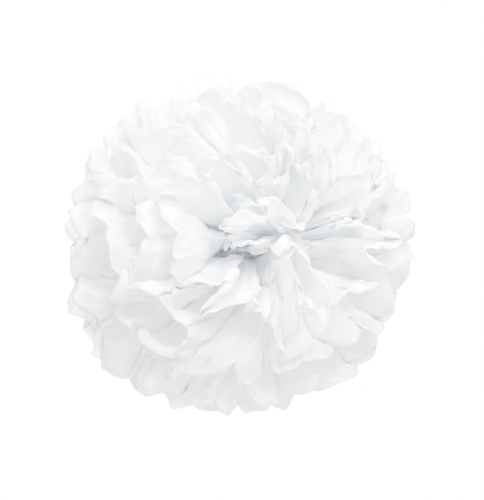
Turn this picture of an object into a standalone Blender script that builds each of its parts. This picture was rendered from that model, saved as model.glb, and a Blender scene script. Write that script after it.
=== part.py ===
"""Tissue paper pom pom, in metres: ten pleated sheets in one wire tie, pulled open into a ball.

Each sheet is folded to and fro into panels, its panel ends are cut round, the stack is tied
across its middle, and the two halves of each sheet are then opened as fans and pulled apart.
The tie is at the origin. The sheets' two fans lie to -X and +X, their side edges meet along
+Z and -Z, and the layers are pulled from the pole at -Y (the flower's face) to the one at +Y.
A point of a sheet has a distance from the tie, an angle from the -Y pole and an azimuth
round it, so sheets whose pole angles keep their order at every place never cross.
"""
import math

import bpy
import numpy as np

# Driving sizes, in metres.
BALL_DIAMETER = 0.4064
SHEET_WIDTH = 0.660
PAPER_THICKNESS = 0.00025
SCALLOP_DEPTH = 0.013
WAIST_HALF_WIDTH = 0.010
WAIST_PITCH = 0.0012
WAIST_PLEAT = 0.0006
WIRE_RADIUS = 0.0006
WIRE_CLEARANCE = 0.0009
TWIST_GAP = 0.0002
TAIL_LENGTH = 0.014
TAIL_PITCH = 0.0055

# Counts.
PANELS = 14
PETALS = PANELS // 2
WIRE_SIDES_RESOLUTION = 1
CORNER_POINTS = 4
TAIL_POINTS_PER_TURN = 7
SEED = 5

# Angles from the front pole in degrees, one row for each sheet: half way out, at the rim,
# and what is added at the rim towards +X and then every 45 degrees on through +Z.
SHEETS = (
    (9, 21, (-7, -8, 4, 8, -5, -8, 2, 5)),
    (20, 35, (-3, -4, -5, 3, 7, -3, -6, 3)),
    (31, 49, (3, 0, -5, 3, 3, 4, -4, -4)),
    (44, 65, (3, -3, -3, 4, 3, 4, -5, -3)),
    (60, 82, (2, 3, -3, -2, 2, 3, -3, 3)),
    (96, 99, (-2, 2, 3, -1, -3, 2, 1, -2)),
    (122, 115, (2, -2, 1, 3, -1, -2, 2, 1)),
    (139, 131, (-2, 1, 3, -1, 2, -3, -1, 2)),
    (152, 147, (1, 3, -2, 2, -1, 2, -2, 1)),
    (164, 162, (3, -2, 2, -1, 3, -2, 1, -1)),
)

# How wide each petal of two panels opens against its neighbours, from -Z up to +Z.
RIGHT_PETALS = (1.1, 1.6, 1.3, 0.4, 0.5, 1.6, 1.2)
LEFT_PETALS = (1.1, 1.7, 0.45, 1.1, 0.4, 1.6, 1.2)

# Shares and slopes of the form.
OPEN_LIMIT = 0.97             # share of a panel's width that can lie open
PLEAT_SLOPE = 0.40            # pleat depth for each metre out from the tie
ARCH = 0.7                    # 0 for flat panels, 1 for fully arched ones
FOLD_LEAN = 0.1               # how far a ridge sits off its petal's middle
REACH_LOSS = 0.045            # how far a fold may stop short of the ball
REACH_GAIN = 0.03             # how far a fold may stand out of the ball
SHY_LOSS = 0.10               # how much shorter the squeezed petals near the poles stay
TIP_SPREAD = 5.0              # degrees that single folds stray at the rim
CURL = 8.0                    # degrees that the rim curls in or out
CRUMPLE = 0.005               # shift of whole stretches of the ball, in metres
CRUMPLE_LENGTH = 0.17
CRUMPLE_WAVES = 5
FRONT_LEAN = 0.03             # shift of the front pole to +X
FRONT_RISE = 0.01             # shift of the front pole to +Z
SEAM_OPEN = 28.0              # degrees left free beside each side edge at the tie
POLE_LIMIT = 2.5              # degrees kept free round each pole
POLE_SOFTNESS = 6.0
SEAM_GAP = 0.0006             # least distance of a side edge from the seam plane
LAYER_GAP = 0.0018            # least distance between two sheets outside the tie
LAYER_SPREAD = 1.5            # degrees more between two sheets far from the tie

# Rows of the mesh: share of the way to the rim, and columns for each panel.
ROWS = ((0.0, 1), (0.08, 1), (0.22, 1), (0.45, 1), (0.72, 2), (1.0, 4))
FINEST = ROWS[-1][1]

BALL_RADIUS = BALL_DIAMETER / 2
PANEL_WIDTH = SHEET_WIDTH / PANELS


def smooth(x):
    """Rise from 0 to 1 with level ends as x goes from 0 to 1."""
    x = np.clip(x, 0.0, 1.0)
    return x * x * (3.0 - 2.0 * x)


def from_compass(values, azimuth):
    """Blend values set round a circle at equal steps, at the given azimuths."""
    values = np.array(values, float)
    turn = azimuth / (2 * math.pi) % 1.0 * len(values)
    lower = np.floor(turn).astype(int)
    part = smooth(turn - lower)
    return values[lower % len(values)] * (1 - part) + values[(lower + 1) % len(values)] * part


def open_petals(weights, room):
    """Share the room of each row among the petals by weight, none wider than its paper."""
    widest = 2 * PANEL_WIDTH * OPEN_LIMIT
    low, high = np.zeros_like(room), np.full_like(room, 10 * BALL_DIAMETER)
    for _ in range(40):
        middle = (low + high) / 2
        full = np.minimum(weights * middle, widest).sum(0) > room
        low, high = np.where(full, low, middle), np.where(full, middle, high)
    widths = np.minimum(weights * high, widest)
    return widths * room / widths.sum(0)


def along_folds(values, columns):
    """Blend one value for each fold straight across the panels."""
    return np.interp(columns, np.arange(PANELS + 1), values)


def pole_angle(distance, share, middle, rim):
    """Angle from the front pole in degrees, level at the tie, then pulled up or down."""
    rise = 1 - np.exp(-np.maximum(distance - 0.02 * BALL_RADIUS, 0) / (0.15 * BALL_RADIUS))
    bend = smooth((share - 0.35) / 0.75) / smooth(0.65 / 0.75)
    return 90 + (middle - 90) * rise + (rim - middle) * bend


class Fan:
    """One half of one sheet, as arrays with a row for each share and a column for each place."""

    def __init__(self, layer, side, shares, columns):
        middle, rim, compass = SHEETS[layer]
        shared = np.random.default_rng([SEED, 99, side + 1])
        own = np.random.default_rng([SEED, layer, side + 1])
        lean = shared.uniform(-FOLD_LEAN, FOLD_LEAN, PETALS)
        height = shared.uniform(0.85, 1.15, PANELS + 1)
        reach = own.uniform(-REACH_LOSS, REACH_GAIN, PANELS + 1)
        stray = own.uniform(-TIP_SPREAD, TIP_SPREAD, PANELS + 1)
        curl = own.uniform(-CURL, CURL, PANELS + 1)
        petals = np.array(RIGHT_PETALS if side > 0 else LEFT_PETALS)

        share, column = shares[:, None], columns[None, :]
        panel = np.minimum(np.floor(columns).astype(int), PANELS - 1)
        place = columns - panel
        from_middle = (place - 0.5) * PANEL_WIDTH
        arc = ((PANEL_WIDTH / 2) ** 2 + SCALLOP_DEPTH ** 2) / (2 * SCALLOP_DEPTH)
        cut = arc - np.sqrt(arc ** 2 - from_middle ** 2)
        shyness = smooth((1.2 - petals) / 0.9) * max(0.0, abs(rim - 90) / 90 - 0.2) * SHY_LOSS
        reach = reach - np.repeat(shyness, 2)[np.minimum(np.arange(PANELS + 1), PANELS - 1)]
        distance = (share * BALL_RADIUS * (1 + along_folds(reach, column))
                    - cut * smooth((share - 0.5) / 0.5))

        mean_angle = np.radians(pole_angle(shares * BALL_RADIUS, shares, middle, rim))
        room = np.maximum(math.pi * shares * BALL_RADIUS * np.sin(mean_angle), 1e-5)
        weights = petals[:, None] ** smooth(shares / 0.1)
        widths = open_petals(weights, room)
        parts = widths / widths.sum(0)
        folds = np.zeros((PANELS + 1, len(shares)))
        folds[2::2] = np.cumsum(parts, 0)
        folds[1::2] = folds[:-1:2] + parts * (0.5 + lean[:, None] * smooth(shares / 0.3))
        across = folds[panel] + (folds[panel + 1] - folds[panel]) * place[:, None]
        across = across.T * 2 - 1

        depth = np.sqrt(np.maximum(PANEL_WIDTH ** 2 - (widths / 2) ** 2, 0))
        slope = PLEAT_SLOPE * shares * BALL_RADIUS * smooth(shares * 8 - 0.1)
        depth = np.minimum(depth, slope)
        heights = np.zeros((PANELS + 1, len(shares)))
        heights[1::2] = depth / 2
        heights[2:-1:2] = -(depth[:-1] + depth[1:]) / 4
        heights[0], heights[-1] = -depth[0] / 2, -depth[-1] / 2
        heights = heights * height[:, None]
        start, end = heights[panel].T, heights[panel + 1].T
        arched = np.where(end > start, np.sin(place * math.pi / 2),
                          1 - np.cos(place * math.pi / 2))
        lift = start + (end - start) * (ARCH * arched + (1 - ARCH) * place)

        free = SEAM_OPEN * (1 - smooth(share / 0.3))
        swing = np.radians((90 - free) * across)
        azimuth = swing if side > 0 else math.pi - swing
        added = from_compass(compass, azimuth)
        angle = pole_angle(distance, share, middle + added / 2,
                           rim + added + along_folds(stray, column))
        angle = angle + along_folds(curl, column) * smooth((share - 0.75) / 0.25) ** 2
        angle = angle - np.degrees(lift / np.maximum(distance, 0.02 * BALL_RADIUS))

        self.side, self.swing, self.azimuth = side, swing, azimuth
        self.distance, self.angle = distance, angle
        self.zigzag = np.where(panel % 2 == 0, place - 0.5, 0.5 - place)[None, :]

    def points(self, layer):
        """Place the fan in space, with its sheet's layer in the tie."""
        low, soft = math.radians(POLE_LIMIT), math.radians(POLE_SOFTNESS)
        angle = np.radians(self.angle)
        angle = low + soft * np.logaddexp(0, (angle - low) / soft)
        angle = math.pi - low - soft * np.logaddexp(0, (math.pi - low - angle) / soft)
        from_axis = self.distance * np.sin(angle)
        level = (len(SHEETS) - 1) / 2 - layer
        half_width = WAIST_HALF_WIDTH / math.cos(math.radians(SEAM_OPEN))
        seam = SEAM_GAP * smooth(self.distance / (2 * half_width))
        x = self.side * (from_axis * np.cos(self.swing) + seam)
        z = np.hypot(from_axis, half_width) * np.sin(self.swing)
        pleat = 2 * WAIST_PLEAT * self.zigzag * np.exp(-(self.distance / half_width) ** 2)
        y = -self.distance * np.cos(angle) - level * WAIST_PITCH - pleat
        return crumple(np.stack([x, y, z], -1))


def crumple(points):
    """Shift places by slow waves through space and lean the front, so that no two can cross."""
    waves = np.random.default_rng([SEED, 55])
    amount = CRUMPLE * smooth(np.linalg.norm(points, axis=-1, keepdims=True) / (0.5 * BALL_RADIUS))
    shift = np.zeros_like(points)
    for _ in range(CRUMPLE_WAVES):
        across = waves.normal(0, 1, 3)
        across *= 2 * math.pi / (CRUMPLE_LENGTH * np.linalg.norm(across))
        start, push = waves.uniform(0, 2 * math.pi), waves.normal(0, 1, 3)
        shift += np.sin(points @ across + start)[..., None] * push / np.linalg.norm(push)
    points = points + amount * shift / math.sqrt(CRUMPLE_WAVES)
    front = smooth(-points[..., 1:2] / BALL_RADIUS)
    return points + front * np.array([FRONT_LEAN, 0.0, FRONT_RISE])


def ease_apart(inner, outer, sign):
    """Move the outer sheet's fans clear of the inner sheet's, at each row round the circle."""
    for row in range(inner[0].angle.shape[0]):
        ring = np.concatenate([fan.azimuth[row] for fan in inner])
        order = np.argsort(ring % (2 * math.pi))
        ring = (ring % (2 * math.pi))[order]
        there = np.concatenate([fan.angle[row] for fan in inner])[order] * sign
        for fan in outer:
            gap = np.degrees(LAYER_GAP / np.maximum(fan.distance[row], 5 * LAYER_GAP))
            gap = gap + LAYER_SPREAD * smooth(fan.distance[row] / (0.6 * BALL_RADIUS))
            limit = np.interp(fan.azimuth[row] % (2 * math.pi), ring, there, period=2 * math.pi)
            fan.angle[row] = np.maximum(fan.angle[row] * sign, limit + gap) * sign
            way = 1 if fan.side > 0 else -1
            mine, spot = fan.azimuth[row][::way], fan.angle[row][::way] * sign
            near = (ring - mine[0]) % (2 * math.pi) + mine[0]
            inside = near < mine[-1]
            short = there[inside] + gap.max() - np.interp(near[inside], mine, spot)
            segment = np.searchsorted(mine, near[inside], side="right") - 1
            for index, lack in zip(segment, short):
                if lack > 0:
                    spot[index:index + 2] += lack
            fan.angle[row] = (spot * sign)[::way]


def all_fans(shares, columns):
    """Shape both fans of every sheet and ease the sheets apart from the equator outwards."""
    fans = [[Fan(layer, side, shares, columns) for side in (1, -1)]
            for layer in range(len(SHEETS))]
    half = len(SHEETS) // 2
    ease_apart(fans[half - 1], fans[half], 1)
    for layer in range(half - 1, 0, -1):
        ease_apart(fans[layer], fans[layer - 1], -1)
    for layer in range(half, len(SHEETS) - 1):
        ease_apart(fans[layer], fans[layer + 1], 1)
    return fans


def bridge(first, second):
    """Faces between two rows of point numbers, the second as fine as the first or twice so."""
    if len(first) == len(second):
        return [(a, b, d, c) for a, b, c, d in zip(first, first[1:], second, second[1:])]
    faces = []
    for n, (a, b) in enumerate(zip(first, first[1:])):
        c, d, e = second[2 * n:2 * n + 3]
        faces += [(a, d, c), (a, b, d), (b, e, d)]
    return faces


def sheet_mesh(name, layer, fans):
    """Join the two fans of one sheet along the tie into one surface."""
    points, faces, rows = [], [], {}
    for fan in fans:
        placed = fan.points(layer)
        previous = None
        for row, (share, per_panel) in enumerate(ROWS):
            if row == 0 and 0 in rows:
                numbers = rows[0]
            else:
                picked = placed[row][::FINEST // per_panel]
                numbers = list(range(len(points), len(points) + len(picked)))
                points += [tuple(point) for point in picked]
                rows[row] = numbers
            if previous is not None:
                made = bridge(previous, numbers)
                faces += made if fan.side > 0 else [face[::-1] for face in made]
            previous = numbers
    mesh = bpy.data.meshes.new(name)
    mesh.from_pydata(points, [], faces)
    mesh.validate()
    mesh.update()
    return mesh


def material(name, colour, roughness, metallic):
    """Make a plain Principled material."""
    made = bpy.data.materials.new(name)
    made.use_nodes = True
    shader = made.node_tree.nodes["Principled BSDF"]
    shader.inputs["Base Color"].default_value = (*colour, 1.0)
    shader.inputs["Roughness"].default_value = roughness
    shader.inputs["Metallic"].default_value = metallic
    return made


def link(thing, finish):
    """Put an object with its own material into the scene."""
    thing.data.materials.append(finish)
    bpy.context.scene.collection.objects.link(thing)
    return thing


def add_sheet(layer, fans):
    """Make one sheet of paper with its thickness."""
    name = f"sheet_{layer + 1:02d}"
    sheet = bpy.data.objects.new(name, sheet_mesh(name, layer, fans))
    wall = sheet.modifiers.new("thickness", "SOLIDIFY")
    wall.thickness = PAPER_THICKNESS
    wall.offset = 0.0
    return link(sheet, material(f"tissue_{layer + 1:02d}", (0.93, 0.94, 0.95), 0.75, 0.0))


def tie_route():
    """Centre line of the wire: one twisted end, once round the waist, the other end."""
    off = WIRE_RADIUS + WIRE_CLEARANCE + PAPER_THICKNESS / 2
    wide = WAIST_HALF_WIDTH + off
    deep = (len(SHEETS) - 1) / 2 * WAIST_PITCH + WAIST_PLEAT + off
    twist = WIRE_RADIUS + TWIST_GAP / 2
    ring = [(0.0, -twist, wide)]
    for side_y, side_z in ((-1, 1), (-1, -1), (1, -1), (1, 1)):
        first = math.atan2(side_y, side_z) + math.pi / 4
        for n in range(CORNER_POINTS):
            turn = first - math.pi / 2 * n / (CORNER_POINTS - 1)
            ring.append((0.0, side_y * (deep - off) + off * math.sin(turn),
                         side_z * (wide - off) + off * math.cos(turn)))
    ring.append((0.0, twist, wide))
    steps = round(TAIL_LENGTH / TAIL_PITCH * TAIL_POINTS_PER_TURN)
    first_end, second_end = [], []
    for n in range(1, steps + 1):
        turn = 2 * math.pi * n / TAIL_POINTS_PER_TURN
        across, along = twist * math.sin(turn), twist * math.cos(turn)
        up = wide + TAIL_LENGTH * n / steps
        first_end.append((across, -along, up))
        second_end.append((-across, along, up))
    return first_end[::-1] + ring + second_end


def add_tie():
    """Make the wire tie as a round bar along its route."""
    curve = bpy.data.curves.new("tie_wire", "CURVE")
    curve.dimensions = "3D"
    curve.bevel_depth = WIRE_RADIUS
    curve.bevel_resolution = WIRE_SIDES_RESOLUTION
    curve.use_fill_caps = True
    route = tie_route()
    line = curve.splines.new("POLY")
    line.points.add(len(route) - 1)
    for point, place in zip(line.points, route):
        point.co = (*place, 1.0)
    tie = bpy.data.objects.new("tie_wire", curve)
    return link(tie, material("wire", (0.85, 0.86, 0.86), 0.45, 1.0))


def main():
    for thing in list(bpy.data.objects):
        bpy.data.objects.remove(thing, do_unlink=True)
    shares = np.array([share for share, _ in ROWS])
    columns = np.linspace(0, PANELS, PANELS * FINEST + 1)
    for layer, fans in enumerate(all_fans(shares, columns)):
        add_sheet(layer, fans)
    add_tie()


main()
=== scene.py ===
"""Looks of the tissue paper pom pom: ten crinkled sheets, their wire tie, studio and camera.

Each sheet is shaped by the same rule as its plain solid, on a much finer grid. A node tree then
crinkles it, gives it the paper's thickness and its finish, and the result replaces the solid.
"""

import logging
import math
from dataclasses import dataclass, field, fields
from enum import Enum

import bpy
import numpy as np
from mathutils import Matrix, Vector


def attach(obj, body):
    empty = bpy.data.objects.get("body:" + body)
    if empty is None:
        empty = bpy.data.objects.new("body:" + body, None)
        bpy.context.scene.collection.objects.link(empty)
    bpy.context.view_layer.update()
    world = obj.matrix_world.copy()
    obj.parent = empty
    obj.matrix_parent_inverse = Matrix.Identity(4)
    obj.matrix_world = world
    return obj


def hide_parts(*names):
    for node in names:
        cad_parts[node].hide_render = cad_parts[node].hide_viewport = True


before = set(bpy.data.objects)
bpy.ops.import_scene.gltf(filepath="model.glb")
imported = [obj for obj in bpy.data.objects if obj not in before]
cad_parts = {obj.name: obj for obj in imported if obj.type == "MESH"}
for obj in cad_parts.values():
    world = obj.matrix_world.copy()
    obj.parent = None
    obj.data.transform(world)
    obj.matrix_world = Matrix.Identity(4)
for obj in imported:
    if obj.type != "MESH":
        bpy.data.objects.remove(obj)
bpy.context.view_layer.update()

LOG = logging.getLogger("pom_pom")
PHOTO_HEIGHT = 500      # pixels
EQUATOR = 90.0          # degrees from the front pole
SHARED_DRAWS = 99       # stream of random numbers for what all sheets have alike
CRUMPLE_DRAWS = 55      # stream of random numbers for the slow waves through space
HALVINGS = 40           # steps of the search for the petals' widths
SEARCH_RADII = 20       # upper end of that search, in radii of the ball

Pair = tuple[float, float]
Colour = tuple[float, float, float]


class Side(Enum):
    """The half of the ball that a fan opens to."""

    RIGHT = 1
    LEFT = -1


def ramp(x: np.ndarray | float, start: float = 0.0, width: float = 1.0) -> np.ndarray:
    """Rise from 0 to 1 with level ends as x crosses a span.

    Args:
        x: values of any size.
        start: where the rise starts.
        width: how far on it ends.

    Returns:
        The eased values, from 0 to 1.
    """
    x = np.clip((x - start) / width, 0.0, 1.0)
    return x * x * (3.0 - 2.0 * x)


def from_compass(values: tuple[float, ...], azimuth: np.ndarray) -> np.ndarray:
    """Blend values that are set round a circle at equal steps.

    Args:
        values: one value for each step, from +X on through +Z.
        azimuth: places round the circle, in radians.

    Returns:
        The blended values.
    """
    table = np.array(values, float)
    turn = azimuth / (2 * math.pi) % 1.0 * len(table)
    lower = np.floor(turn).astype(int)
    part = ramp(turn - lower)
    return table[lower % len(table)] * (1 - part) + table[(lower + 1) % len(table)] * part


@dataclass(frozen=True)
class Pull:
    """How far one sheet is pulled from the front pole, in degrees.

    The last field is added at the rim towards +X and then every 45 degrees on through +Z.
    """

    middle: float
    rim: float
    compass: tuple[float, ...]


PULLS = (
    Pull(6, 5, (-26, -8, 22, 10, -4, -8, 20, -6)),
    Pull(20, 35, (-3, -4, -5, 3, 7, -3, -6, 3)),
    Pull(31, 49, (3, 0, -5, 3, 3, 4, 1, -1)),
    Pull(44, 65, (3, -3, -3, 4, 3, 6, 7, 4)),
    Pull(60, 82, (2, 3, -3, -2, 2, 4, 4, 4)),
    Pull(96, 99, (-2, 2, 3, -1, -3, 2, 1, -2)),
    Pull(122, 115, (2, -2, 1, 3, -1, -2, 2, 1)),
    Pull(139, 131, (-2, 1, 3, -1, 2, -3, -1, 2)),
    Pull(152, 147, (1, 3, -2, 2, -1, 2, -2, 1)),
    Pull(164, 162, (3, -2, 2, -1, 3, -2, 1, -1)),
)


@dataclass(frozen=True)
class Spans:
    """Where on the way from the tie to the rim each form comes in.

    Each field holds a start and a width, as shares of that way.
    """

    petals: Pair = (0.0, 0.1)
    own_petals: Pair = (0.45, 0.55)
    lean: Pair = (0.0, 0.3)
    seam: Pair = (0.0, 0.3)
    crumple: Pair = (0.0, 0.5)
    bend: Pair = (0.35, 0.75)
    scallops: Pair = (0.5, 0.5)
    curl: Pair = (0.75, 0.25)


@dataclass(frozen=True)
class BallForm:
    """Sizes of the ball and its folds, in metres and degrees.

    The heart is the middle of the flower. Its sizes, fold_over and own_petals are only here. The
    pleats, the curl and the layers' spread are larger than in the plain solids. The rest is as
    there. Petals of a weight under shy_below are shy, which means that they stay shorter, and
    the more so the nearer their sheet's rim is to a pole.
    """

    ball_radius: float = 0.2032
    sheet_width: float = 0.660
    panels: int = 14
    scallop_depth: float = 0.013
    waist_half_width: float = 0.010
    waist_pitch: float = 0.0012
    waist_pleat: float = 0.0006
    right_petals: tuple[float, ...] = (1.1, 1.6, 1.3, 0.4, 0.5, 1.6, 1.2)
    left_petals: tuple[float, ...] = (1.1, 1.7, 0.45, 1.1, 0.4, 1.6, 1.2)
    own_petals: float = 0.5
    open_limit: float = 0.97
    least_room: float = 1e-5
    pleat_slope: float = 0.50
    pleat_rate: float = 8.0
    pleat_start: float = 0.1
    fold_heights: Pair = (0.85, 1.15)
    arch: float = 0.7
    fold_lean: float = 0.1
    reach_loss: float = 0.045
    reach_gain: float = 0.03
    shy_loss: float = 0.10
    shy_below: float = 1.2
    shy_width: float = 0.9
    shy_free: float = 0.2
    tip_spread: float = 5.0
    curl: float = 10.0
    crumple: float = 0.005
    crumple_length: float = 0.17
    crumple_waves: int = 5
    front_lean: float = 0.03
    front_rise: float = 0.01
    seam_open: float = 28.0
    level_share: float = 0.02
    rise_share: float = 0.15
    pole_limit: float = 2.5
    pole_softness: float = 6.0
    fold_over: float = 30.0
    heart_layers: int = 4
    heart_loss: float = 0.2
    heart_evenness: float = 0.5
    left_heart: tuple[float, ...] = (0.9, 1.0, 0.9, 1.7, 0.9, 1.1, 1.0)
    seam_gap: float = 0.0006
    layer_gap: float = 0.0018
    layer_spread: float = 2.2
    spread_share: float = 0.6
    gap_reach: float = 5.0
    spans: Spans = Spans()
    seed: int = 5

    @property
    def panel_width(self) -> float:
        """Width of one panel between two folds."""
        return self.sheet_width / self.panels

    @property
    def level_length(self) -> float:
        """Way out from the tie over which a sheet stays level."""
        return self.level_share * self.ball_radius

    def petals(self, side: Side, layer: int) -> np.ndarray:
        """How wide each petal of two panels opens, from -Z up to +Z.

        Args:
            side: the half of the ball.
            layer: the sheet's number from the front pole.

        Returns:
            One weight for each petal.
        """
        if side is Side.RIGHT:
            widths = np.array(self.right_petals)
            return widths ** self.heart_evenness if layer < self.heart_layers else widths
        return np.array(self.left_heart if layer < self.heart_layers else self.left_petals)

    def pole_angle(self, distance: np.ndarray, share: np.ndarray, middle: float | np.ndarray,
                   rim: float | np.ndarray) -> np.ndarray:
        """Angle from the front pole, level at the tie and then pulled up or down.

        Args:
            distance: way out from the tie, in metres.
            share: share of the way to the rim.
            middle: angle half way out, in degrees.
            rim: angle at the rim, in degrees.

        Returns:
            The angles in degrees.
        """
        length = self.rise_share * self.ball_radius
        rise = 1 - np.exp(-np.maximum(distance - self.level_length, 0) / length)
        bend = ramp(share, *self.spans.bend) / ramp(1.0, *self.spans.bend)
        return EQUATOR + (middle - EQUATOR) * rise + (rim - middle) * bend

    def open_petals(self, weights: np.ndarray, room: np.ndarray) -> np.ndarray:
        """Share the room of each row among the petals by weight.

        Args:
            weights: a row for each petal and a column for each row of the sheet.
            room: length round the ball that one fan has at each row.

        Returns:
            The petals' widths, none wider than its paper.
        """
        widest = 2 * self.panel_width * self.open_limit
        low, high = np.zeros_like(room), np.full_like(room, SEARCH_RADII * self.ball_radius)
        for _ in range(HALVINGS):
            middle = (low + high) / 2
            full = np.minimum(weights * middle, widest).sum(0) > room
            low, high = np.where(full, low, middle), np.where(full, middle, high)
        widths = np.minimum(weights * high, widest)
        return widths * room / widths.sum(0)

    def crumpled(self, points: np.ndarray) -> np.ndarray:
        """Shift places by slow waves through space, none at the tie, and lean the front.

        Args:
            points: places, with x, y and z last.

        Returns:
            The shifted places. No two sheets can cross by it.
        """
        waves = np.random.default_rng([self.seed, CRUMPLE_DRAWS])
        reach = np.linalg.norm(points, axis=-1, keepdims=True)
        amount = self.crumple * ramp(reach / self.ball_radius, *self.spans.crumple)
        shift = np.zeros_like(points)
        for _ in range(self.crumple_waves):
            across = waves.normal(0, 1, 3)
            across *= 2 * math.pi / (self.crumple_length * np.linalg.norm(across))
            start, push = waves.uniform(0, 2 * math.pi), waves.normal(0, 1, 3)
            wave = np.sin(points @ across + start)[..., None]
            shift += wave * push / np.linalg.norm(push)
        moved = points + amount * shift / math.sqrt(self.crumple_waves)
        front = ramp(-moved[..., 1:2] / self.ball_radius)
        return moved + front * np.array([self.front_lean, 0.0, self.front_rise])


class Fan:
    """One half of one sheet, as arrays with a row for each share and a column for each place."""

    def __init__(self, form: BallForm, layer: int, side: Side, shares: np.ndarray,
                 columns: np.ndarray) -> None:
        """Shape the fan.

        Args:
            form: the ball's sizes.
            layer: the sheet's number from the front pole.
            side: the half of the ball.
            shares: shares of the way from the tie to the rim.
            columns: places across the folded sheet, counted in panels.
        """
        self.form, self.layer, self.side, self.pull = form, layer, side, PULLS[layer]
        self.shares, self.share, self.columns = shares, shares[:, None], columns
        self.marks = np.arange(form.panels + 1)
        self.panel = np.minimum(np.floor(columns).astype(int), form.panels - 1)
        self.place = columns - self.panel

        mark = 1 + side.value
        shared = np.random.default_rng([form.seed, SHARED_DRAWS, mark])
        own = np.random.default_rng([form.seed, layer, mark])
        lean = shared.uniform(-form.fold_lean, form.fold_lean, form.panels // 2)
        height = shared.uniform(*form.fold_heights, form.panels + 1)
        reach = own.uniform(-form.reach_loss, form.reach_gain, form.panels + 1)
        stray = own.uniform(-form.tip_spread, form.tip_spread, form.panels + 1)
        curl = own.uniform(-form.curl, form.curl, form.panels + 1)
        mood = own.uniform(-form.own_petals, form.own_petals, form.panels // 2)

        petals = form.petals(side, layer)
        widths = self.petal_widths(petals, mood)
        self.distance = self.distances(petals, reach)
        self.swing = self.swings(widths, lean)
        self.azimuth = self.swing if side is Side.RIGHT else math.pi - self.swing
        self.angle = self.angles(self.lifts(widths, height), stray, curl)

    def between_folds(self, values: np.ndarray) -> np.ndarray:
        """Spread values of the folds over the columns in between."""
        return np.interp(self.columns, self.marks, values)[None, :]

    def petal_widths(self, petals: np.ndarray, mood: np.ndarray) -> np.ndarray:
        """Share out the room round the ball.

        Args:
            petals: how wide each petal opens against its neighbours.
            mood: how this sheet differs in that near its rim.

        Returns:
            A row for each petal and a column for each row of the sheet.
        """
        form, spans = self.form, self.form.spans
        plain = form.pole_angle(self.shares * form.ball_radius, self.shares,
                                self.pull.middle, self.pull.rim)
        room = math.pi * self.shares * form.ball_radius * np.sin(np.radians(plain))
        weights = petals[:, None] ** ramp(self.shares, *spans.petals)
        weights = weights * np.exp(mood[:, None] * ramp(self.shares, *spans.own_petals))
        return form.open_petals(weights, np.maximum(room, form.least_room))

    def distances(self, petals: np.ndarray, reach: np.ndarray) -> np.ndarray:
        """Way out from the tie along the paper, up to the round cut ends.

        Args:
            petals: how wide each petal opens against its neighbours.
            reach: how much longer each fold is than the ball's radius, as a share of it.

        Returns:
            The distances in metres.
        """
        form = self.form
        if self.layer == 0 and self.side is Side.LEFT:
            reach = reach - form.heart_loss * np.sin(self.marks * math.pi / form.panels)
        far = max(0.0, abs(self.pull.rim - EQUATOR) / EQUATOR - form.shy_free)
        shyness = ramp(form.shy_below - petals, width=form.shy_width) * far * form.shy_loss
        reach = reach - np.repeat(shyness, 2)[np.minimum(self.marks, form.panels - 1)]
        arc = ((form.panel_width / 2) ** 2 + form.scallop_depth ** 2) / (2 * form.scallop_depth)
        cut = arc - np.sqrt(arc ** 2 - ((self.place - 0.5) * form.panel_width) ** 2)
        length = self.share * form.ball_radius * (1 + self.between_folds(reach))
        return length - cut * ramp(self.share, *form.spans.scallops)

    def swings(self, widths: np.ndarray, lean: np.ndarray) -> np.ndarray:
        """Place of each point round its half of the ball, as seen from the front.

        Args:
            widths: the petals' widths.
            lean: how far each petal's ridge leans to one side.

        Returns:
            Angles from this side's direction towards +Z, in radians.
        """
        form, panel = self.form, self.panel
        parts = widths / widths.sum(0)
        folds = np.zeros((form.panels + 1, len(self.shares)))
        folds[2::2] = np.cumsum(parts, 0)
        ridge = 0.5 + lean[:, None] * ramp(self.shares, *form.spans.lean)
        folds[1::2] = folds[:-1:2] + parts * ridge
        across = folds[panel] + (folds[panel + 1] - folds[panel]) * self.place[:, None]
        free = form.seam_open * (1 - ramp(self.share, *form.spans.seam))
        return np.radians((EQUATOR - free) * (across.T * 2 - 1))

    def lifts(self, widths: np.ndarray, height: np.ndarray) -> np.ndarray:
        """Height of the pleats' ridges and valleys, with arched panels in between.

        Args:
            widths: the petals' widths.
            height: how high each fold is against the others.

        Returns:
            The heights towards the front pole, in metres.
        """
        form, panel, place = self.form, self.panel, self.place
        depth = np.sqrt(np.maximum(form.panel_width ** 2 - (widths / 2) ** 2, 0))
        slope = form.pleat_slope * self.shares * form.ball_radius
        come_in = ramp(self.shares * form.pleat_rate, form.pleat_start)
        depth = np.minimum(depth, slope * come_in)
        heights = np.zeros((form.panels + 1, len(self.shares)))
        heights[1::2] = depth / 2
        heights[2:-1:2] = -(depth[:-1] + depth[1:]) / 4
        heights[0], heights[-1] = -depth[0] / 2, -depth[-1] / 2
        heights = heights * height[:, None]
        start, end = heights[panel].T, heights[panel + 1].T
        arched = np.where(end > start, np.sin(place * math.pi / 2),
                          1 - np.cos(place * math.pi / 2))
        return start + (end - start) * (form.arch * arched + (1 - form.arch) * place)

    def angles(self, lift: np.ndarray, stray: np.ndarray, curl: np.ndarray) -> np.ndarray:
        """Angle of each point from the front pole.

        Args:
            lift: height of the pleats, in metres.
            stray: how far each fold's end strays from its neighbours, in degrees.
            curl: how far each fold's end curls, in degrees.

        Returns:
            The angles in degrees.
        """
        form, pull = self.form, self.pull
        added = from_compass(pull.compass, self.azimuth)
        angle = form.pole_angle(self.distance, self.share, pull.middle + added / 2,
                                pull.rim + added + self.between_folds(stray))
        angle = angle + self.between_folds(curl) * ramp(self.share, *form.spans.curl) ** 2
        return angle - np.degrees(lift / np.maximum(self.distance, form.level_length))

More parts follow.
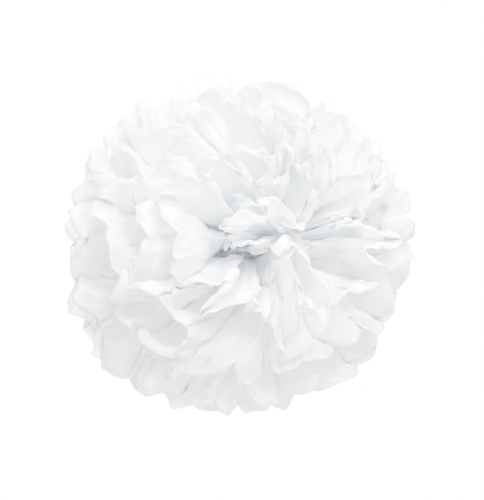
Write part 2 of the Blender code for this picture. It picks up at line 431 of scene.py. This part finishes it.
    def points(self) -> np.ndarray:
        """Place the fan in space, on its sheet's level in the tie."""
        form = self.form
        limit = form.pole_limit if self.layer else -form.fold_over
        low, soft = math.radians(limit), math.radians(form.pole_softness)
        high = math.pi - math.radians(form.pole_limit)
        angle = np.radians(self.angle)
        angle = low + soft * np.logaddexp(0, (angle - low) / soft)
        angle = high - soft * np.logaddexp(0, (high - angle) / soft)
        from_axis = self.distance * np.sin(angle)
        level = (len(PULLS) - 1) / 2 - self.layer
        half_width = form.waist_half_width / math.cos(math.radians(form.seam_open))
        seam = form.seam_gap * ramp(self.distance / (2 * half_width))
        x = self.side.value * (from_axis * np.cos(self.swing) + seam)
        z = np.hypot(from_axis, half_width) * np.sin(self.swing)
        zigzag = np.where(self.panel % 2 == 0, self.place - 0.5, 0.5 - self.place)[None, :]
        pleat = 2 * form.waist_pleat * zigzag * np.exp(-(self.distance / half_width) ** 2)
        y = -self.distance * np.cos(angle) - level * form.waist_pitch - pleat
        return form.crumpled(np.stack([x, y, z], -1))


def ease_apart(inner: list[Fan], outer: list[Fan], sign: int) -> None:
    """Move the outer sheet's fans clear of the inner sheet's, at each row round the circle.

    Args:
        inner: both fans of the sheet nearer the equator.
        outer: both fans of the next sheet out, which is changed.
        sign: 1 towards the far pole, -1 towards the front one.
    """
    turn = 2 * math.pi
    form = outer[0].form
    for row in range(inner[0].angle.shape[0]):
        ring = np.concatenate([fan.azimuth[row] for fan in inner]) % turn
        order = np.argsort(ring)
        ring = ring[order]
        there = np.concatenate([fan.angle[row] for fan in inner])[order] * sign
        for fan in outer:
            nearest = np.maximum(fan.distance[row], form.gap_reach * form.layer_gap)
            far = ramp(fan.distance[row], width=form.spread_share * form.ball_radius)
            gap = np.degrees(form.layer_gap / nearest) + form.layer_spread * far
            limit = np.interp(fan.azimuth[row] % turn, ring, there, period=turn)
            fan.angle[row] = np.maximum(fan.angle[row] * sign, limit + gap) * sign


@dataclass(frozen=True)
class PaperGrid:
    """How finely a sheet is drawn."""

    rows: int = 54
    columns_per_panel: int = 16
    rim_crowding: float = 0.85

    def shares(self) -> np.ndarray:
        """Shares of the way to the rim, closer together towards it."""
        return np.linspace(0, 1, self.rows) ** self.rim_crowding


@dataclass(frozen=True)
class Crinkles:
    """Depths and lengths of the paper's crinkles and its thickness, in metres."""

    soft_wave_depth: float = 0.010
    soft_wave_length: float = 0.060
    crinkle_depth: float = 0.003
    crinkle_length: float = 0.030
    streak_depth: float = 0.0028
    streak_width: float = 0.011
    streak_length: float = 0.120
    facet_depth: float = 0.0032
    facet_size: float = 0.030
    flutter_depth: float = 0.010
    flutter_length: float = 0.022
    thickness: float = 0.00012

    def inputs(self) -> dict[str, float]:
        """The sizes under the names that they have as inputs of the node tree."""
        return {size.name.replace("_", " ").title(): getattr(self, size.name)
                for size in fields(self)}


@dataclass
class TissueBall:
    """The ten sheets of the ball, with their crinkles and finish."""

    form: BallForm = field(default_factory=BallForm)
    grid: PaperGrid = field(default_factory=PaperGrid)
    crinkles: Crinkles = field(default_factory=Crinkles)

    def fans(self) -> list[list[Fan]]:
        """Shape both fans of every sheet and ease the sheets apart from the equator out."""
        shares = self.grid.shares()
        panels = self.form.panels
        columns = np.linspace(0, panels, panels * self.grid.columns_per_panel + 1)
        fans = [[Fan(self.form, layer, side, shares, columns) for side in Side]
                for layer in range(len(PULLS))]
        half = len(PULLS) // 2
        ease_apart(fans[half - 1], fans[half], 1)
        for layer in range(half - 1, 0, -1):
            ease_apart(fans[layer], fans[layer - 1], -1)
        for layer in range(half, len(PULLS) - 1):
            ease_apart(fans[layer], fans[layer + 1], 1)
        return fans

    def surface(self, name: str, fans: list[Fan]) -> bpy.types.Mesh:
        """Join the two fans of one sheet along the tie into one surface.

        Args:
            name: name of the mesh.
            fans: the sheet's right and left fan.

        Returns:
            The mesh, with the flat sheet's places in metres as its UV map.
        """
        right, left = (fan.points() for fan in fans)
        places = np.concatenate([left[:0:-1], right])
        rows, columns = places.shape[:2]
        number = np.arange(rows * columns).reshape(rows, columns)
        quads = np.stack([number[:-1, :-1], number[1:, :-1], number[1:, 1:],
                          number[:-1, 1:]], -1).reshape(-1, 4)
        mesh = bpy.data.meshes.new(name)
        mesh.from_pydata(places.reshape(-1, 3).tolist(), [], quads.tolist())
        shares = self.grid.shares()
        along = np.concatenate([-shares[:0:-1], shares]) * self.form.ball_radius
        across = np.linspace(0, self.form.sheet_width, columns)
        flat = np.stack(np.broadcast_arrays(across[None, :], along[:, None]), -1).reshape(-1, 2)
        layer = mesh.uv_layers.new(name="flat_sheet")
        layer.data.foreach_set("uv", flat[quads.reshape(-1)].reshape(-1))
        reach = mesh.attributes.new("reach", "FLOAT", "POINT")
        reach.data.foreach_set("value", np.abs(along).repeat(columns) / self.form.ball_radius)
        mesh.update()
        return mesh

    def build(self, finish: bpy.types.Material) -> None:
        """Make every sheet and put it in the place of its plain solid.

        Args:
            finish: the paper's material.
        """
        tree = CrinkleTree().tree
        for layer, fans in enumerate(self.fans()):
            name = f"tissue_sheet_{layer + 1:02d}"
            sheet = bpy.data.objects.new(name, self.surface(name, fans))
            bpy.context.scene.collection.objects.link(sheet)
            through_tree(sheet, tree, {**self.crinkles.inputs(), "Seed": layer, "Paper": finish})
            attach(sheet, "root")
            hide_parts(f"sheet_{layer + 1:02d}")


def through_tree(thing: bpy.types.Object, tree: bpy.types.NodeTree,
                 values: dict[str, object]) -> None:
    """Run an object's mesh through a node tree and keep the result as its plain mesh.

    Args:
        thing: the object, with its place in its mesh. It ends without a modifier.
        tree: a geometry node tree.
        values: the tree's inputs by name.
    """
    sockets = {item.name: item.identifier for item in tree.interface.items_tree
               if item.item_type == "SOCKET" and item.in_out == "INPUT"}
    shaper = thing.modifiers.new("shaper", "NODES")
    shaper.node_group = tree
    for name, value in values.items():
        shaper[sockets[name]] = value
    depsgraph = bpy.context.evaluated_depsgraph_get()
    made = bpy.data.meshes.new_from_object(thing.evaluated_get(depsgraph), depsgraph=depsgraph,
                                           preserve_all_data_layers=True)
    old = thing.data
    thing.modifiers.remove(shaper)
    made.name = old.name
    thing.data = made
    bpy.data.meshes.remove(old)


class NodeWriter:
    """Short way to add and join nodes in a tree."""

    def __init__(self, tree: bpy.types.NodeTree) -> None:
        """Keep the tree that the nodes go into."""
        self.tree = tree

    def add(self, kind: str, settings: dict[str, object] | None = None,
            inputs: dict[object, object] | None = None) -> bpy.types.Node:
        """Add a node.

        Args:
            kind: the node's type name.
            settings: values of the node's own properties.
            inputs: for each input, by name or number, a value or the socket that feeds it.

        Returns:
            The node.
        """
        node = self.tree.nodes.new(kind)
        for name, value in (settings or {}).items():
            setattr(node, name, value)
        for place, value in (inputs or {}).items():
            if isinstance(value, bpy.types.NodeSocket):
                self.tree.links.new(value, node.inputs[place])
            else:
                node.inputs[place].default_value = value
        return node

    def math(self, step: str, first: object, second: object = 0.0) -> bpy.types.NodeSocket:
        """One step of arithmetic on numbers."""
        node = self.add("ShaderNodeMath", {"operation": step}, {0: first, 1: second})
        return node.outputs[0]

    def vector(self, step: str, first: object, second: object) -> bpy.types.NodeSocket:
        """One step of arithmetic on vectors."""
        node = self.add("ShaderNodeVectorMath", {"operation": step}, {0: first, 1: second})
        return node.outputs[0]

    def scaled(self, vector: bpy.types.NodeSocket, factor: object) -> bpy.types.NodeSocket:
        """A vector made longer by a factor."""
        node = self.add("ShaderNodeVectorMath", {"operation": "SCALE"},
                        {0: vector, "Scale": factor})
        return node.outputs[0]

    def noise(self, place: bpy.types.NodeSocket, scale: object, detail: float,
              roughness: float, fourth: bpy.types.NodeSocket | None = None) -> bpy.types.Node:
        """Add a noise texture.

        Args:
            place: where the noise is read.
            scale: how many of its lumps lie on a metre.
            detail: how many finer noises are added.
            roughness: how strong these are.
            fourth: place along a fourth direction, for another noise at the same place.

        Returns:
            The node.
        """
        inputs = {"Vector": place, "Scale": scale, "Detail": detail, "Roughness": roughness}
        if fourth is not None:
            inputs["W"] = fourth
        return self.add("ShaderNodeTexNoise",
                        {"noise_dimensions": "3D" if fourth is None else "4D"}, inputs)


class CrinkleTree:
    """Node tree that crinkles a surface, gives it paper's thickness and sets its finish.

    Its inputs are the sizes of Crinkles, a seed and a material.
    """

    FADE_ENDS = (0.12, 0.5)         # shares of the way to the rim between which crinkles come in
    FLUTTER_ENDS = (0.72, 1.0)      # and those between which the rim's flutter does
    NOISE_MIDDLE = 0.5              # what a noise strays round
    FULL_DEPTH = 2.0                # turns a stray of up to a half into the whole depth
    STREAK_MIDDLE = 0.08            # mean stray of the streaks' noise
    STREAK_GAIN = 8.0
    FLUTTER_GAIN = 4.0
    FACET_BEND = 1.5                # how far the soft waves bend the facets
    CREASE_STEP, STREAK_STEP, FACET_STEP, FLUTTER_STEP = 3.7, 5.1, 2.3, 7.9
    WELD = 1e-6                     # metres

    def __init__(self) -> None:
        """Build the tree."""
        self.tree = bpy.data.node_groups.new("crinkled_paper", "GeometryNodeTree")
        face = self.tree.interface
        face.new_socket("Geometry", in_out="INPUT", socket_type="NodeSocketGeometry")
        for name in Crinkles().inputs():
            face.new_socket(name, in_out="INPUT", socket_type="NodeSocketFloat")
        face.new_socket("Seed", in_out="INPUT", socket_type="NodeSocketInt")
        face.new_socket("Paper", in_out="INPUT", socket_type="NodeSocketMaterial")
        face.new_socket("Geometry", in_out="OUTPUT", socket_type="NodeSocketGeometry")
        self.make = make = NodeWriter(self.tree)
        self.given = make.add("NodeGroupInput").outputs
        self.place = make.add("GeometryNodeInputPosition").outputs[0]
        self.normal = make.add("GeometryNodeInputNormal").outputs[0]
        self.flat = self.attribute("flat_sheet", "FLOAT_VECTOR")
        self.reach = self.attribute("reach", "FLOAT")
        self.fade = self.rise(self.FADE_ENDS)
        swing = self.soft_waves()
        height = self.creases()
        for more in (self.streaks(), self.facets(swing), self.flutter()):
            height = make.math("ADD", height, more)
        crinkled = make.add("GeometryNodeSetPosition", None, {
            "Geometry": self.given["Geometry"],
            "Offset": make.vector("ADD", swing, make.scaled(self.normal, height))})
        self.finish(self.thickened(crinkled.outputs[0]))

    def attribute(self, name: str, kind: str) -> bpy.types.NodeSocket:
        """Read one of the surface's own values."""
        return self.make.add("GeometryNodeInputNamedAttribute", {"data_type": kind},
                             {"Name": name}).outputs[0]

    def rise(self, ends: Pair) -> bpy.types.NodeSocket:
        """Rise from 0 to 1 between two shares of the way to the rim."""
        return self.make.add("ShaderNodeMapRange", {"interpolation_type": "SMOOTHSTEP"}, {
            "Value": self.reach, "From Min": ends[0], "From Max": ends[1]}).outputs[0]

    def seeded(self, step: float) -> bpy.types.NodeSocket:
        """Place along a noise's fourth direction, another one for each sheet."""
        return self.make.math("MULTIPLY", self.given["Seed"], step)

    def per_metre(self, length: str) -> bpy.types.NodeSocket:
        """How often a length goes into a metre."""
        return self.make.math("DIVIDE", 1.0, self.given[length])

    def depth(self, name: str, share: bpy.types.NodeSocket,
              gain: float) -> bpy.types.NodeSocket:
        """Depth of one kind of crinkle, by how far it has come in."""
        return self.make.math("MULTIPLY", self.given[name],
                              self.make.math("MULTIPLY", share, gain))

    def stray(self, value: bpy.types.NodeSocket, depth: bpy.types.NodeSocket,
              middle: float = NOISE_MIDDLE) -> bpy.types.NodeSocket:
        """Height that comes of a value's stray from its middle."""
        return self.make.math("MULTIPLY", self.make.math("SUBTRACT", value, middle), depth)

    def soft_waves(self) -> bpy.types.NodeSocket:
        """Slow waves that move all sheets alike, so that they don't cross by them."""
        wave = self.make.noise(self.place, self.per_metre("Soft Wave Length"), 1.0, 0.4)
        swing = self.make.vector("SUBTRACT", wave.outputs["Color"], (self.NOISE_MIDDLE,) * 3)
        return self.make.scaled(swing, self.depth("Soft Wave Depth", self.fade, self.FULL_DEPTH))

    def creases(self) -> bpy.types.NodeSocket:
        """Fine creases, other ones on each sheet."""
        crease = self.make.noise(self.place, self.per_metre("Crinkle Length"), 1.5, 0.45,
                                 self.seeded(self.CREASE_STEP))
        return self.stray(crease.outputs["Fac"],
                          self.depth("Crinkle Depth", self.fade, self.FULL_DEPTH))

    def streaks(self) -> bpy.types.NodeSocket:
        """Narrow creases along the folds, read on the flat sheet."""
        make = self.make
        narrow = make.add("ShaderNodeCombineXYZ", None, {
            0: self.per_metre("Streak Width"), 1: self.per_metre("Streak Length")}).outputs[0]
        streak = make.noise(make.vector("MULTIPLY", self.flat, narrow), 1.0, 2.0, 0.5,
                            self.seeded(self.STREAK_STEP)).outputs["Fac"]
        ridge = make.math("ABSOLUTE", make.math("SUBTRACT", streak, self.NOISE_MIDDLE))
        return self.stray(ridge, self.depth("Streak Depth", self.fade, self.STREAK_GAIN),
                          self.STREAK_MIDDLE)

    def facets(self, swing: bpy.types.NodeSocket) -> bpy.types.NodeSocket:
        """Faint flat facets between sharp edges."""
        make = self.make
        bent = make.vector("ADD", self.place, make.scaled(swing, self.FACET_BEND))
        facet = make.add("ShaderNodeTexVoronoi", {"voronoi_dimensions": "4D", "feature": "F1"}, {
            "Vector": bent, "Scale": self.per_metre("Facet Size"),
            "W": self.seeded(self.FACET_STEP)}).outputs["Distance"]
        return self.stray(facet, self.depth("Facet Depth", self.fade, self.FULL_DEPTH))

    def flutter(self) -> bpy.types.NodeSocket:
        """Short waves along the rim."""
        ripple = self.make.noise(self.flat, self.per_metre("Flutter Length"), 1.0, 0.5,
                                 self.seeded(self.FLUTTER_STEP))
        return self.stray(ripple.outputs["Fac"], self.depth(
            "Flutter Depth", self.rise(self.FLUTTER_ENDS), self.FLUTTER_GAIN))

    def thickened(self, surface: bpy.types.NodeSocket) -> bpy.types.NodeSocket:
        """Close the surface into thin paper with two smooth faces and sharp edges."""
        make, thickness = self.make, self.given["Thickness"]
        inwards = make.math("MULTIPLY", make.math("MULTIPLY", thickness, 0.5), -1.0)
        back = make.add("GeometryNodeSetPosition", None, {
            "Geometry": surface, "Offset": make.scaled(self.normal, inwards)})
        front = make.add("GeometryNodeExtrudeMesh", {"mode": "FACES"}, {
            "Mesh": back.outputs[0], "Offset": self.normal, "Offset Scale": thickness,
            "Individual": False})
        smooth_front = make.add("GeometryNodeSetShadeSmooth", {"domain": "FACE"}, {
            0: front.outputs["Mesh"],
            "Shade Smooth": make.math("SUBTRACT", 1.0, front.outputs["Side"])})
        smooth_back = make.add("GeometryNodeSetShadeSmooth", {"domain": "FACE"}, {
            0: make.add("GeometryNodeFlipFaces", None, {"Mesh": back.outputs[0]}).outputs[0],
            "Shade Smooth": True})
        both = make.add("GeometryNodeJoinGeometry")
        self.tree.links.new(smooth_front.outputs[0], both.inputs[0])
        self.tree.links.new(smooth_back.outputs[0], both.inputs[0])
        return make.add("GeometryNodeMergeByDistance", None,
                        {"Geometry": both.outputs[0], "Distance": self.WELD}).outputs[0]

    def finish(self, paper: bpy.types.NodeSocket) -> None:
        """End the tree with real geometry in its material."""
        real = self.make.add("GeometryNodeRealizeInstances", None, {0: paper})
        dressed = self.make.add("GeometryNodeSetMaterial", None, {
            "Geometry": real.outputs[0], "Material": self.given["Paper"]})
        self.make.add("NodeGroupOutput", None, {0: dressed.outputs[0]})


def cloud_group() -> bpy.types.NodeTree:
    """Shader group for a fine cloudy mottle, as paper, metal and card all have.

    Returns:
        The group, with a blended colour, a mask and a bumped normal as its outputs.
    """
    group = bpy.data.node_groups.new("cloudy_mottle", "ShaderNodeTree")
    sockets = (("Vector", "INPUT", "Vector"), ("Cloud Size", "INPUT", "Float"),
               ("Grain Size", "INPUT", "Float"), ("Light Colour", "INPUT", "Color"),
               ("Dark Colour", "INPUT", "Color"), ("Bump Depth", "INPUT", "Float"),
               ("Colour", "OUTPUT", "Color"), ("Mask", "OUTPUT", "Float"),
               ("Normal", "OUTPUT", "Vector"))
    for name, way, kind in sockets:
        group.interface.new_socket(name, in_out=way, socket_type=f"NodeSocket{kind}")
    cloud_share, grain_share, mask_span = 0.7, 0.3, (0.35, 0.65)
    make = NodeWriter(group)
    given = make.add("NodeGroupInput").outputs
    cloud = make.noise(given["Vector"], make.math("DIVIDE", 1.0, given["Cloud Size"]),
                       4.0, 0.6).outputs["Fac"]
    grain = make.noise(given["Vector"], make.math("DIVIDE", 1.0, given["Grain Size"]),
                       2.0, 0.7).outputs["Fac"]
    mask = make.math("ADD", make.math("MULTIPLY", cloud, cloud_share),
                     make.math("MULTIPLY", grain, grain_share))
    spread = make.add("ShaderNodeMapRange", None, {
        "Value": mask, "From Min": mask_span[0], "From Max": mask_span[1]}).outputs[0]
    colour = make.add("ShaderNodeMix", {"data_type": "RGBA"}, {
        0: spread, 6: given["Dark Colour"], 7: given["Light Colour"]}).outputs[2]
    bump = make.add("ShaderNodeBump", None, {
        "Height": make.math("MULTIPLY", grain, given["Bump Depth"]), "Distance": 1.0})
    make.add("NodeGroupOutput", None, {"Colour": colour, "Mask": spread,
                                       "Normal": bump.outputs["Normal"]})
    return group


@dataclass(frozen=True)
class Mottle:
    """Colours of one finish's cloudy mottle, and its sizes in metres."""

    light: Colour
    dark: Colour
    cloud_size: float
    grain_size: float
    bump_depth: float

    def add(self, make: NodeWriter, group: bpy.types.NodeTree,
            place: bpy.types.NodeSocket) -> bpy.types.Node:
        """Add the mottle to a material.

        Args:
            make: writer of the material's tree.
            group: the cloudy mottle group.
            place: where the mottle is read.

        Returns:
            The group's node.
        """
        return make.add("ShaderNodeGroup", {"node_tree": group}, {
            "Vector": place, "Cloud Size": self.cloud_size, "Grain Size": self.grain_size,
            "Light Colour": (*self.light, 1.0), "Dark Colour": (*self.dark, 1.0),
            "Bump Depth": self.bump_depth})


def new_material(name: str) -> tuple[bpy.types.Material, NodeWriter, bpy.types.NodeSocket]:
    """Make an empty node material.

    Args:
        name: the material's name.

    Returns:
        The material, the writer of its tree and the socket of the object's own coordinates.
    """
    made = bpy.data.materials.new(name)
    made.use_nodes = True
    made.node_tree.nodes.clear()
    make = NodeWriter(made.node_tree)
    return made, make, make.add("ShaderNodeTexCoord").outputs["Object"]


@dataclass(frozen=True)
class TissueFinish:
    """Thin white tissue: matte, cloudy where light comes through."""

    mottle: Mottle = Mottle(light=(0.984, 0.988, 0.991), dark=(0.968, 0.974, 0.979),
                            cloud_size=0.006, grain_size=0.0009, bump_depth=0.00006)
    through: float = 0.82
    roughness: float = 0.85
    shine: float = 0.25

    def material(self, group: bpy.types.NodeTree) -> bpy.types.Material:
        """Make the material.

        Args:
            group: the cloudy mottle group.

        Returns:
            The material, Principled mixed with the light that comes through.
        """
        made, make, place = new_material("white_tissue")
        cloudy = self.mottle.add(make, group, place).outputs
        paper = make.add("ShaderNodeBsdfPrincipled", None, {
            "Base Color": cloudy["Colour"], "Normal": cloudy["Normal"],
            "Roughness": self.roughness, "Specular IOR Level": self.shine})
        glow = make.add("ShaderNodeBsdfTranslucent", None, {
            "Color": cloudy["Colour"], "Normal": cloudy["Normal"]})
        both = make.add("ShaderNodeMixShader", None, {
            0: self.through, 1: paper.outputs[0], 2: glow.outputs[0]})
        make.add("ShaderNodeOutputMaterial", None, {"Surface": both.outputs[0]})
        return made


@dataclass(frozen=True)
class WireFinish:
    """Plain drawn steel wire."""

    mottle: Mottle = Mottle(light=(0.86, 0.87, 0.88), dark=(0.62, 0.63, 0.65),
                            cloud_size=0.0015, grain_size=0.0003, bump_depth=0.00002)
    smoothest: float = 0.28
    roughest: float = 0.5
    drawn: tuple[float, float, float] = (1.0, 1.0, 0.2)

    def material(self, group: bpy.types.NodeTree) -> bpy.types.Material:
        """Make the material.

        Args:
            group: the cloudy mottle group.

        Returns:
            The material, with streaks drawn along the wire's upright run.
        """
        made, make, place = new_material("drawn_wire")
        streak = make.add("ShaderNodeMapping", None, {"Vector": place, "Scale": self.drawn})
        cloudy = self.mottle.add(make, group, streak.outputs[0]).outputs
        rough = make.add("ShaderNodeMapRange", None, {
            "Value": cloudy["Mask"], "To Min": self.roughest, "To Max": self.smoothest})
        metal = make.add("ShaderNodeBsdfPrincipled", None, {
            "Base Color": cloudy["Colour"], "Roughness": rough.outputs[0],
            "Normal": cloudy["Normal"], "Metallic": 1.0})
        make.add("ShaderNodeOutputMaterial", None, {"Surface": metal.outputs[0]})
        return made


@dataclass(frozen=True)
class FloorFinish:
    """White seamless paper of the studio floor."""

    mottle: Mottle = Mottle(light=(0.72, 0.72, 0.72), dark=(0.70, 0.70, 0.70),
                            cloud_size=0.05, grain_size=0.002, bump_depth=0.00005)
    roughness: float = 0.85

    def material(self, group: bpy.types.NodeTree) -> bpy.types.Material:
        """Make the material.

        Args:
            group: the cloudy mottle group.

        Returns:
            The material.
        """
        made, make, place = new_material("white_floor")
        cloudy = self.mottle.add(make, group, place).outputs
        card = make.add("ShaderNodeBsdfPrincipled", None, {
            "Base Color": cloudy["Colour"], "Normal": cloudy["Normal"],
            "Roughness": self.roughness})
        make.add("ShaderNodeOutputMaterial", None, {"Surface": card.outputs[0]})
        return made


@dataclass(frozen=True)
class Tie:
    """The wire tie, whose solid is kept and only dressed."""

    node: str = "tie_wire"

    def dress(self, finish: bpy.types.Material) -> None:
        """Give the wire its finish.

        Args:
            finish: the wire's material.
        """
        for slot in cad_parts[self.node].material_slots:
            slot.material = finish
        LOG.info("%s: dressed", self.node)


@dataclass(frozen=True)
class SoftLight:
    """One square studio light that looks at the ball."""

    name: str
    place: tuple[float, float, float]
    power: float
    size: float

    def build(self) -> None:
        """Put the light into the scene."""
        lamp = bpy.data.lights.new(self.name, "AREA")
        lamp.energy, lamp.size = self.power, self.size
        thing = bpy.data.objects.new(self.name, lamp)
        thing.location = self.place
        thing.rotation_euler = (-Vector(self.place)).to_track_quat("-Z", "Y").to_euler()
        bpy.context.scene.collection.objects.link(thing)


@dataclass(frozen=True)
class Studio:
    """Floor, lights, surrounding light and camera.

    The room's light rises from light_below to light_above as the view turns from down to up.
    The camera's azimuth and elevation are in degrees, and its centre is in pixels.
    """

    floor_height: float = -0.62
    floor_radius: float = 1.4
    floor_corners: int = 96
    light_above: float = 0.62
    light_below: float = 0.20
    blend_height: float = 0.7
    film_gamma: float = 2.7
    bounces: int = 96
    soft_bounces: int = 64
    room_colour: Colour = (1.0, 1.0, 1.0)
    lights: tuple[SoftLight, ...] = (
        SoftLight("key", (-0.2, -1.5, 2.0), 28.0, 0.8),
        SoftLight("front_fill", (0.3, -2.8, 1.1), 51.0, 0.5),
        SoftLight("back_fill", (0.3, 2.8, 0.6), 30.0, 0.8),
    )
    azimuth: float = -12.0
    elevation: float = -2.0
    distance: float = 2.2
    sensor_height: float = 36.0
    metres_per_pixel: float = 0.00119
    centre_right: float = -8.0
    centre_down: float = -3.0

    def floor(self, finish: bpy.types.Material) -> None:
        """Lay the floor far below the hanging ball.

        Args:
            finish: the floor's material.
        """
        steps = np.linspace(0, 2 * math.pi, self.floor_corners, endpoint=False)
        corners = [(self.floor_radius * math.cos(a), self.floor_radius * math.sin(a),
                    self.floor_height) for a in steps]
        mesh = bpy.data.meshes.new("floor")
        mesh.from_pydata(corners, [], [list(range(len(corners)))])
        mesh.materials.append(finish)
        floor = bpy.data.objects.new("floor", mesh)
        bpy.context.scene.collection.objects.link(floor)

    def surround(self) -> None:
        """Light the room, more from above, and show it pure white behind the ball."""
        world = bpy.data.worlds.new("white_room")
        bpy.context.scene.world = world
        world.use_nodes = True
        world.node_tree.nodes.clear()
        make = NodeWriter(world.node_tree)
        seen = make.add("ShaderNodeLightPath").outputs["Is Camera Ray"]
        way = make.add("ShaderNodeTexCoord").outputs["Generated"]
        height = make.add("ShaderNodeSeparateXYZ", None, {0: way}).outputs["Z"]
        level = make.add("ShaderNodeMapRange", {"interpolation_type": "SMOOTHSTEP"}, {
            "Value": height, "From Min": -self.blend_height, "From Max": self.blend_height,
            "To Min": self.light_below, "To Max": self.light_above}).outputs[0]
        room = make.add("ShaderNodeBackground", None, {
            "Color": (*self.room_colour, 1.0), "Strength": level})
        white = make.add("ShaderNodeBackground", None, {
            "Color": (1.0, 1.0, 1.0, 1.0), "Strength": 1.0})
        both = make.add("ShaderNodeMixShader", None, {
            0: seen, 1: room.outputs[0], 2: white.outputs[0]})
        make.add("ShaderNodeOutputWorld", None, {"Surface": both.outputs[0]})

    def camera(self) -> None:
        """Set up the camera at the picture's viewing angle and frame."""
        across, up = math.radians(self.azimuth), math.radians(self.elevation)
        back = Vector((math.sin(across) * math.cos(up), -math.cos(across) * math.cos(up),
                       math.sin(up)))
        turn = (-back).to_track_quat("-Z", "Y")
        lens = bpy.data.cameras.new("camera")
        lens.sensor_fit = "VERTICAL"
        lens.sensor_height = self.sensor_height
        picture_height = PHOTO_HEIGHT * self.metres_per_pixel
        lens.lens = self.sensor_height * self.distance / picture_height
        camera = bpy.data.objects.new("camera", lens)
        camera.rotation_euler = turn.to_euler()
        to_right = turn @ Vector((1, 0, 0)) * -self.centre_right * self.metres_per_pixel
        to_top = turn @ Vector((0, 1, 0)) * self.centre_down * self.metres_per_pixel
        camera.location = back * self.distance + to_right + to_top
        bpy.context.scene.collection.objects.link(camera)
        bpy.context.scene.camera = camera

    def light_paths(self) -> None:
        """Let light pass through many layers of tissue, and set the picture's tone."""
        scene = bpy.context.scene
        scene.cycles.max_bounces = self.bounces
        scene.cycles.diffuse_bounces = self.soft_bounces
        scene.cycles.transmission_bounces = self.soft_bounces
        scene.view_settings.view_transform = "Standard"
        scene.view_settings.gamma = self.film_gamma

    def build(self, floor_finish: bpy.types.Material) -> None:
        """Build the whole studio.

        Args:
            floor_finish: the floor's material.
        """
        self.floor(floor_finish)
        self.surround()
        for light in self.lights:
            light.build()
        self.camera()
        self.light_paths()
        LOG.info("studio: %d lights", len(self.lights))


def main() -> None:
    """Build and dress the part, then the studio round it."""
    logging.basicConfig(level=logging.INFO, format="%(name)s %(message)s")
    group = cloud_group()
    TissueBall().build(TissueFinish().material(group))
    Tie().dress(WireFinish().material(group))
    Studio().build(FloorFinish().material(group))


if __name__ == "__main__":
    main()
